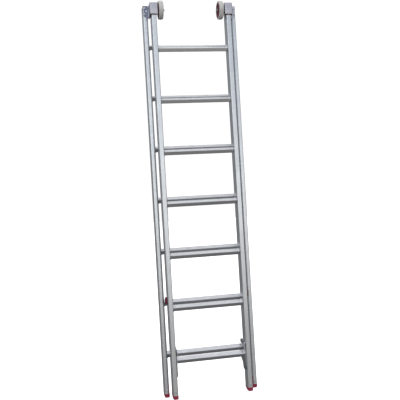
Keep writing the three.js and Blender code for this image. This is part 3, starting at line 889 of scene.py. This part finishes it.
def tyre_shell(node):
    """Crowned tyre: r = R - crown (x / half tread)^2 less two narrow grooves, round shoulders and
    plain side walls, on a seat that the hub's flanges grip."""
    (half, _, outer), middle = halves(node)
    tread, crown, shoulder = 7.5 * MM, 0.9 * MM, 3.5 * MM
    x = np.linspace(-tread, tread, 61)
    groove = valleys(x, (-3.4 * MM, 3.4 * MM), 0.45 * MM)
    top = np.stack([outer - crown * (x / tread) ** 2 - 0.7 * MM * groove, x], axis=1)
    turn = np.linspace(math.pi / 2, 0, 7)[:-1]
    left = np.stack([outer - crown - shoulder + shoulder * np.cos(turn),
                     -tread - shoulder * np.sin(turn)], axis=1)
    seat, bead = 31.3 * MM, 8.2 * MM
    wall = [(38.5 * MM, half), (37.5 * MM, half - 0.5 * MM), (36.3 * MM, half - 0.6 * MM),
            (36.3 * MM, bead), (seat, bead)]
    profile = around(np.array(wall[::-1]) * (1, -1), left, top, left[::-1] * (1, -1), wall)
    return revolve(profile, 96, 0, middle, closed=True)


def hub_shell(node, shapes):
    """Hub: a profile with a rim, a sunken web and a boss, turned about the axle. Over the web the
    face rises by 2 mm * cos^16(n a / 2) between boss and rim, which leaves the spokes."""
    (boss, _, _), middle = halves(node)
    half, sunk = 11 * MM, 3 * MM
    bore, boss_foot, rim_foot = 5.4 * MM, 12 * MM, 25 * MM
    face = [(bore, boss), (boss_foot - 1 * MM, boss), (boss_foot, half - sunk),
            (rim_foot, half - sunk), (27.2 * MM, half), (36 * MM, half),
            (36 * MM, half - 2.5 * MM), (31 * MM, half - 2.5 * MM)]
    other = [(r, -x) for r, x in face[::-1]]
    profile = resample(fillet(face + other, 0.5 * MM, 3), 1 * MM)
    points, quads, caps, wear = revolve(profile, 144, 0, closed=True)
    radius = np.hypot(points[:, 1], points[:, 2])
    angle = np.arctan2(points[:, 2], points[:, 1])
    blend = 1.2 * MM
    ramp = np.clip((radius - boss_foot - 0.4 * MM) / blend, 0, 1)
    ramp *= np.clip((rim_foot - radius) / blend, 0, 1)
    spoke = np.cos(shapes.hub_spokes * angle / 2) ** 16
    on_face = np.abs(points[:, 0]) > half - 3.4 * MM
    points[:, 0] += np.sign(points[:, 0]) * 2 * MM * ramp * spoke * on_face
    return points + middle, quads, caps, wear


def rings_along(x, radius, turn, centre):
    """Points of a surface about an axle: at each x along it a ring whose radius may change with
    the angle."""
    return along(0, radius[..., None] * circle(turn), x) + (0, centre[1], centre[2])


def axle_shell(node):
    """Axle: r = R - 0.5 mm * |2 frac(x / pitch + a / 2 pi) - 1| over the threaded tip, which ends
    in a chamfer, and plain beyond it."""
    (half, _, outer), middle = halves(node)
    pitch, threaded, chamfer = 1.25 * MM, 9 * MM, 0.8 * MM
    x = np.concatenate([np.linspace(0, threaded, 73), [threaded + 0.6 * MM, 2 * half]])
    turn = np.linspace(0, 2 * math.pi, 36, endpoint=False)
    phase = (x[:, None] / pitch + turn[None] / (2 * math.pi)) % 1
    depth = np.where(x < threaded + HAIR, 0.5 * MM, 0)[:, None]
    radius = np.minimum(outer - depth * np.abs(2 * phase - 1), outer - chamfer + x[:, None])
    points = rings_along(abs(middle[0]) - half + x, radius, turn, middle)
    return mirrored(loft(points), np.sign(middle[0]))


def spacer_shell(node):
    """Plain sleeve with eased ends."""
    (half, _, outer), middle = halves(node)
    bore = 5.3 * MM
    corners = [(bore, -half), (bore, half), (outer, half), (outer, -half)]
    return revolve(fillet(corners, 0.4 * MM, 3), 40, 0, middle, closed=True)


def nut_shell(node):
    """Hexagon nut: r = apothem / cos(angle from the nearest flat), cut by a cone at each end, with
    a round collar on the side towards the ladder's middle."""
    (half, flat, _), middle = halves(node)
    turn = np.linspace(0, 2 * math.pi, 96, endpoint=False)
    hexagon = flat / np.cos((turn + math.pi / 6) % (math.pi / 3) - math.pi / 6)
    x = np.array([-half, -half + 0.5 * MM, -half + 1.0 * MM, half - 1.9 * MM, half - 1.3 * MM,
                  half - 1.2 * MM, half - 0.3 * MM, half, half, -half])
    limit = np.array([8.1, 8.8, 9.3, 9.3, 8.2, 6.9, 6.9, 6.6]) * MM
    bore = np.full((2, len(turn)), 5.3 * MM)
    radius = np.concatenate([np.minimum(hexagon[None], limit[:, None]), bore])
    points = rings_along(abs(middle[0]) - x, radius, turn, middle)
    return mirrored(loft(points, closed=True), np.sign(middle[0]))


# ---- Operators ----

class LADDER_OT_stiles(bpy.types.Operator):
    """Four fluted box-section stiles"""

    bl_idname = "ladder.stiles"
    bl_label = "Stiles"
    bl_options = {"REGISTER", "UNDO"}

    def execute(self, context):
        for node in both("base_stile", "fly_stile"):
            add_piece(node, "extrusion", [stile_shell(node, context.scene.ladder_shapes)])
        return {"FINISHED"}


class LADDER_OT_rungs(bpy.types.Operator):
    """Fourteen rungs with ribbed treads and swaged ends"""

    bl_idname = "ladder.rungs"
    bl_label = "Rungs"
    bl_options = {"REGISTER", "UNDO"}

    def execute(self, context):
        for section in ("base", "fly"):
            inner_face = box(f"{section}_stile_right")[0][0]
            for node in sorted(n for n in BODY_OF if n.startswith(f"{section}_rung_")):
                shell = rung_shell(node, inner_face, context.scene.ladder_shapes)
                add_piece(node, "tube", [shell])
        return {"FINISHED"}


class LADDER_OT_feet(bpy.types.Operator):
    """Four moulded feet with ribbed soles, each plugged into its stile"""

    bl_idname = "ladder.feet"
    bl_label = "Feet"
    bl_options = {"REGISTER", "UNDO"}

    def execute(self, context):
        for node in both("base_foot", "fly_foot"):
            plug = plug_shell(node, 17.9 * MM, box(node)[1][2])
            add_piece(node, "shoe", [foot_shell(node, context.scene.ladder_shapes), plug])
        return {"FINISHED"}


class LADDER_OT_caps(bpy.types.Operator):
    """Lids and plugs in the tops of the stiles"""

    bl_idname = "ladder.caps"
    bl_label = "Top caps and plugs"
    bl_options = {"REGISTER", "UNDO"}

    def execute(self, context):
        lid = 2.7 * MM
        for node in both("base_top_cap", "fly_top_plug"):
            low, high, _ = box(node)
            plug = plug_shell(node, low[2], high[2] - lid + 0.1 * MM)
            add_piece(node, "lid", [lid_shell(node, lid), plug])
        return {"FINISHED"}


class LADDER_OT_guides(bpy.types.Operator):
    """The two folded guide brackets and their plastic liners"""

    bl_idname = "ladder.guides"
    bl_label = "Guides"
    bl_options = {"REGISTER", "UNDO"}

    def execute(self, context):
        shapes = context.scene.ladder_shapes
        for side, label in SIDES:
            add_piece(f"guide_bracket_{label}", "sheet", [mirrored(bracket_shell(shapes), side)])
            add_piece(f"guide_liner_{label}", "channel", [mirrored(liner_shell(shapes), side)])
        return {"FINISHED"}


class LADDER_OT_hooks(bpy.types.Operator):
    """The two rung hooks and the side pads above them"""

    bl_idname = "ladder.hooks"
    bl_label = "Hooks and pads"
    bl_options = {"REGISTER", "UNDO"}

    def execute(self, context):
        for side, label in SIDES:
            fork = hook_shells(side, context.scene.ladder_shapes)
            add_piece(f"rung_hook_{label}", "fork", fork)
            add_piece(f"side_pad_{label}", "block", [pad_shell(side)])
        return {"FINISHED"}


class LADDER_OT_rivets(bpy.types.Operator):
    """Every blind rivet: feet, guides and hooks"""

    bl_idname = "ladder.rivets"
    bl_label = "Rivets"
    bl_options = {"REGISTER", "UNDO"}

    def execute(self, context):
        for node in sorted(n for n in BODY_OF if "rivet" in n):
            across = node.startswith("hook")
            toward = 1 if across and "left" in node else -1
            add_piece(node, "dome", [rivet_shell(node, 0 if across else 1, toward)])
        return {"FINISHED"}


class LADDER_OT_wheels(bpy.types.Operator):
    """Tyres and spoked hubs of the two wall wheels"""

    bl_idname = "ladder.wheels"
    bl_label = "Wheels"
    bl_options = {"REGISTER", "UNDO"}

    def execute(self, context):
        for tyre, hub in zip(both("wheel_tyre"), both("wheel_hub")):
            add_piece(tyre, "ring", [tyre_shell(tyre)], sharp=50)
            add_piece(hub, "disc", [hub_shell(hub, context.scene.ladder_shapes)], sharp=50)
        return {"FINISHED"}


class LADDER_OT_axles(bpy.types.Operator):
    """Threaded axles with their spacers and nuts"""

    bl_idname = "ladder.axles"
    bl_label = "Axles"
    bl_options = {"REGISTER", "UNDO"}

    def execute(self, context):
        for axle, spacer, nut in zip(both("wheel_axle"), both("wheel_spacer"), both("axle_nut")):
            add_piece(axle, "bolt", [axle_shell(axle)])
            add_piece(spacer, "sleeve", [spacer_shell(spacer)])
            add_piece(nut, "hexagon", [nut_shell(nut)])
        return {"FINISHED"}


def studio(graph, brightness):
    """A pale studio: in front it is brightest level with the eye and darker towards the floor,
    behind it brightens overhead. What the camera sees directly is plain white."""
    direction = graph.node("ShaderNodeTexCoord", output="Generated")
    back = graph.part(direction, "Y")
    level = graph.part(direction, "Z") * 0.5 + 0.5
    ahead = graph.node("ShaderNodeValToRGB", {"stops": (
        (0.0, 0.035, 0.035, 0.035), (0.20, 0.04, 0.04, 0.04), (0.31, 0.165, 0.157, 0.148),
        (0.40, 0.225, 0.212, 0.20), (0.46, 0.44, 0.43, 0.42), (0.49, 1.0, 1.0, 0.98),
        (0.52, 1.0, 1.0, 0.98), (0.56, 0.42, 0.445, 0.475), (0.61, 0.46, 0.50, 0.545),
        (0.66, 0.27, 0.305, 0.36), (0.80, 0.30, 0.33, 0.38), (1.0, 0.415, 0.415, 0.415),
    )}, {"Fac": level})
    behind = graph.node("ShaderNodeValToRGB", {"stops": (
        (0.0, 0.05, 0.05, 0.05), (0.40, 0.10, 0.10, 0.10), (0.55, 0.13, 0.133, 0.137),
        (0.70, 0.20, 0.207, 0.224), (0.80, 0.415, 0.423, 0.44), (0.90, 0.515, 0.515, 0.515),
        (1.0, 0.515, 0.515, 0.515),
    )}, {"Fac": level})
    light = graph.mix(graph.band(back, -0.96, -0.60), ahead, behind)
    room = graph.node("ShaderNodeBackground", sockets={"Color": light, "Strength": brightness})
    backdrop = graph.node("ShaderNodeBackground", sockets={"Color": (1, 1, 1, 1), "Strength": 1.05})
    seen = graph.node("ShaderNodeLightPath", output="Is Camera Ray")
    world = graph.node("ShaderNodeMixShader", sockets={0: seen, 1: room, 2: backdrop})
    graph.node("ShaderNodeOutputWorld", sockets={"Surface": world})


def floor_finish(graph):
    """Pale painted floor, slightly mottled and glowing, so that it runs into the backdrop."""
    mottle = graph.noise(6)
    shade = graph.mix(mottle, (0.80, 0.80, 0.80, 1), (0.84, 0.84, 0.84, 1))
    graph.surface(Base_Color=shade, Roughness=0.9, Emission_Color=(1, 1, 1, 1),
                  Emission_Strength=0.85)


def add_floor():
    """A floor so wide that its edge never shows. It lights nothing and shades nothing."""
    half = 40.0
    corners = [(-half, -half, 0), (half, -half, 0), (half, half, 0), (-half, half, 0)]
    mesh = bpy.data.meshes.new("floor")
    mesh.from_pydata(corners, [], [(0, 1, 2, 3)])
    material, graph = new_material("pale_floor")
    floor_finish(graph)
    mesh.materials.append(material)
    floor = add_object("floor", mesh)
    floor.visible_diffuse = False
    floor.visible_glossy = False
    floor.visible_shadow = False


def aim_camera(stage):
    """Camera on a sphere round the aim point, rolled about its line of sight."""
    a, e, roll = stage.azimuth, stage.elevation, stage.roll
    back = Vector((math.sin(a) * math.cos(e), -math.cos(a) * math.cos(e), math.sin(e)))
    right = (-back).cross(Vector((0, 0, 1))).normalized()
    up = right.cross(-back)
    across = right * math.cos(roll) + up * math.sin(roll)
    upright = up * math.cos(roll) - right * math.sin(roll)
    data = bpy.data.cameras.new("camera")
    data.lens = stage.lens
    data.sensor_width = 36
    data.clip_end = 200
    camera = add_object("camera", data)
    pointing = Matrix((across, upright, back)).transposed().to_4x4()
    camera.matrix_world = Matrix.Translation(Vector(stage.aim) + back * stage.distance) @ pointing
    bpy.context.scene.camera = camera


def add_key_light(power):
    """A square soft light above the climber's left shoulder, aimed at the ladder's middle."""
    place, aim, size = Vector((-2.2, -3.0, 2.6)), Vector((0, 0, 1.1)), 2.0
    data = bpy.data.lights.new("key", "AREA")
    data.shape = "RECTANGLE"
    data.size = data.size_y = size
    data.energy = power
    pointing = (aim - place).to_track_quat("-Z", "Y").to_matrix().to_4x4()
    add_object("key", data).matrix_world = Matrix.Translation(place) @ pointing


class LADDER_OT_stage(bpy.types.Operator):
    """Pale floor, soft studio light and the camera"""

    bl_idname = "ladder.stage"
    bl_label = "Stage"
    bl_options = {"REGISTER", "UNDO"}

    def execute(self, context):
        scene = context.scene
        stage = scene.ladder_stage
        add_floor()
        world = bpy.data.worlds.new("studio")
        world.use_nodes = True
        scene.world = world
        studio(Graph(world.node_tree), stage.fill)
        add_key_light(stage.key)
        aim_camera(stage)
        scene.view_settings.view_transform = "Standard"
        return {"FINISHED"}


class LADDER_PT_panel(bpy.types.Panel):
    """Lists the ladder's operators with their settings"""

    bl_idname = "LADDER_PT_panel"
    bl_label = "Extension ladder"
    bl_space_type = "VIEW_3D"
    bl_region_type = "UI"
    bl_category = "Ladder"

    def draw(self, context):
        scene = context.scene
        for group in (scene.ladder_shapes, scene.ladder_finishes, scene.ladder_stage):
            column = self.layout.column(align=True)
            for name in group.bl_rna.properties.keys():
                if name not in {"rna_type", "name"}:
                    column.prop(group, name)
        for operator in OPERATORS:
            self.layout.operator(operator.bl_idname)


OPERATORS = (
    LADDER_OT_stage, LADDER_OT_stiles, LADDER_OT_rungs, LADDER_OT_feet, LADDER_OT_caps,
    LADDER_OT_guides, LADDER_OT_hooks, LADDER_OT_rivets, LADDER_OT_wheels, LADDER_OT_axles,
)
GROUPS = (LadderShapes, LadderFinishes, LadderStage)


def register():
    for each in GROUPS + OPERATORS + (LADDER_PT_panel,):
        bpy.utils.register_class(each)
    bpy.types.Scene.ladder_shapes = bpy.props.PointerProperty(type=LadderShapes)
    bpy.types.Scene.ladder_finishes = bpy.props.PointerProperty(type=LadderFinishes)
    bpy.types.Scene.ladder_stage = bpy.props.PointerProperty(type=LadderStage)


def unregister():
    del bpy.types.Scene.ladder_stage
    del bpy.types.Scene.ladder_finishes
    del bpy.types.Scene.ladder_shapes
    for each in reversed(GROUPS + OPERATORS + (LADDER_PT_panel,)):
        bpy.utils.unregister_class(each)


def main():
    """Makes the stage and every piece."""
    register()
    bpy.ops.ladder.stage()
    bpy.ops.ladder.stiles()
    bpy.ops.ladder.rungs()
    bpy.ops.ladder.feet()
    bpy.ops.ladder.caps()
    bpy.ops.ladder.guides()
    bpy.ops.ladder.hooks()
    bpy.ops.ladder.rivets()
    bpy.ops.ladder.wheels()
    bpy.ops.ladder.axles()


if __name__ == "__main__":
    main()
